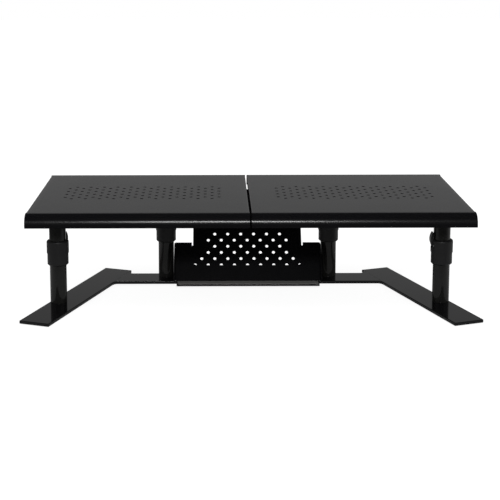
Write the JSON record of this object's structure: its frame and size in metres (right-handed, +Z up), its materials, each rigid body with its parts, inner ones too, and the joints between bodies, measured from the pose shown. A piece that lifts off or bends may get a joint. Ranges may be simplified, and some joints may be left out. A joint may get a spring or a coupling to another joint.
{
  "type": "monitor stand",
  "caption": "Low desk stand for paired monitors: perforated steel platforms side by side on telescopic legs with cam levers, a flat bar base and a leaning centre tablet rest.",
  "frame": {"origin": "on the desk plane, at the centre of the footprint", "axes": "+X to the user's right along the platforms, +Y away from the user, +Z up"},
  "size_m": [0.724, 0.387, 0.1666],
  "materials": {
    "black_steel": "fine satin powder coat",
    "base_steel": "glossy black powder coat",
    "collar_plastic": "semi-gloss moulded black plastic",
    "lever_plastic": "semi-gloss moulded black plastic",
    "post_steel": "bright plated tube",
    "bush_plastic": "natural acetal",
    "plug_steel": "zinc plated",
    "screw_steel": "zinc plated",
    "pad_rubber": "matt",
    "mat_rubber": "matt grey sheet"
  },
  "bodies": {
    "base": {"left_front_lower_tube": "black_steel", "left_front_tube_plug": "plug_steel", "left_front_guide_bush": "bush_plastic", "left_front_collar": "collar_plastic", "left_front_lever_pin": "screw_steel", "left_rear_lower_tube": "black_steel", "left_rear_tube_plug": "plug_steel", "left_rear_guide_bush": "bush_plastic", "left_rear_collar": "collar_plastic", "left_rear_lever_pin": "screw_steel", "right_front_lower_tube": "black_steel", "right_front_tube_plug": "plug_steel", "right_front_guide_bush": "bush_plastic", "right_front_collar": "collar_plastic", "right_front_lever_pin": "screw_steel", "right_rear_lower_tube": "black_steel", "right_rear_tube_plug": "plug_steel", "right_rear_guide_bush": "bush_plastic", "right_rear_collar": "collar_plastic", "right_rear_lever_pin": "screw_steel", "centre_bar": "base_steel", "left_foot_bar": "base_steel", "right_foot_bar": "base_steel", "left_foot_pads": "pad_rubber", "right_foot_pads": "pad_rubber", "centre_pads": "pad_rubber", "shelf_mat": "mat_rubber", "holder_plate": "black_steel", "holder_stay": "black_steel", "stay_screws": "screw_steel", "stay_nuts": "screw_steel", "leg_base_screws": "screw_steel", "collar_grub_screws": "screw_steel"},
    "left_platform": {"left_platform": "black_steel", "left_platform_studs": "screw_steel", "left_platform_nuts": "screw_steel", "left_front_mounting_plate": "black_steel", "left_front_upper_sleeve": "black_steel", "left_front_inner_post": "post_steel", "left_front_post_glide": "bush_plastic", "left_rear_mounting_plate": "black_steel", "left_rear_upper_sleeve": "black_steel", "left_rear_inner_post": "post_steel", "left_rear_post_glide": "bush_plastic"},
    "right_platform": {"right_platform": "black_steel", "right_platform_studs": "screw_steel", "right_platform_nuts": "screw_steel", "right_front_mounting_plate": "black_steel", "right_front_upper_sleeve": "black_steel", "right_front_inner_post": "post_steel", "right_front_post_glide": "bush_plastic", "right_rear_mounting_plate": "black_steel", "right_rear_upper_sleeve": "black_steel", "right_rear_inner_post": "post_steel", "right_rear_post_glide": "bush_plastic"},
    "left_front_lever": {"left_front_cam_lever": "lever_plastic"},
    "left_rear_lever": {"left_rear_cam_lever": "lever_plastic"},
    "right_front_lever": {"right_front_cam_lever": "lever_plastic"},
    "right_rear_lever": {"right_rear_cam_lever": "lever_plastic"}
  },
  "joints": [
    {"name": "left_platform_height", "type": "slide", "parent": "base", "child": "left_platform", "axis": [0, 0, 1], "range_m": [0, 0.038]},
    {"name": "right_platform_height", "type": "slide", "parent": "base", "child": "right_platform", "axis": [0, 0, 1], "range_m": [0, 0.038]},
    {"name": "left_front_lever_flip", "type": "hinge", "parent": "base", "child": "left_front_lever", "pos_m": [-0.30566, -0.06599, 0.10145], "axis": [-0.866, 0.5, 0], "range_deg": [0, 75]},
    {"name": "left_rear_lever_flip", "type": "hinge", "parent": "base", "child": "left_rear_lever", "pos_m": [-0.1426, 0.08905, 0.10145], "axis": [-1, 0, 0], "range_deg": [0, 75]},
    {"name": "right_front_lever_flip", "type": "hinge", "parent": "base", "child": "right_front_lever", "pos_m": [0.29843, -0.0785, 0.10145], "axis": [0, -1, 0], "range_deg": [0, 75]},
    {"name": "right_rear_lever_flip", "type": "hinge", "parent": "base", "child": "right_rear_lever", "pos_m": [0.1426, 0.08905, 0.10145], "axis": [-1, 0, 0], "range_deg": [0, 75]}
  ]
}
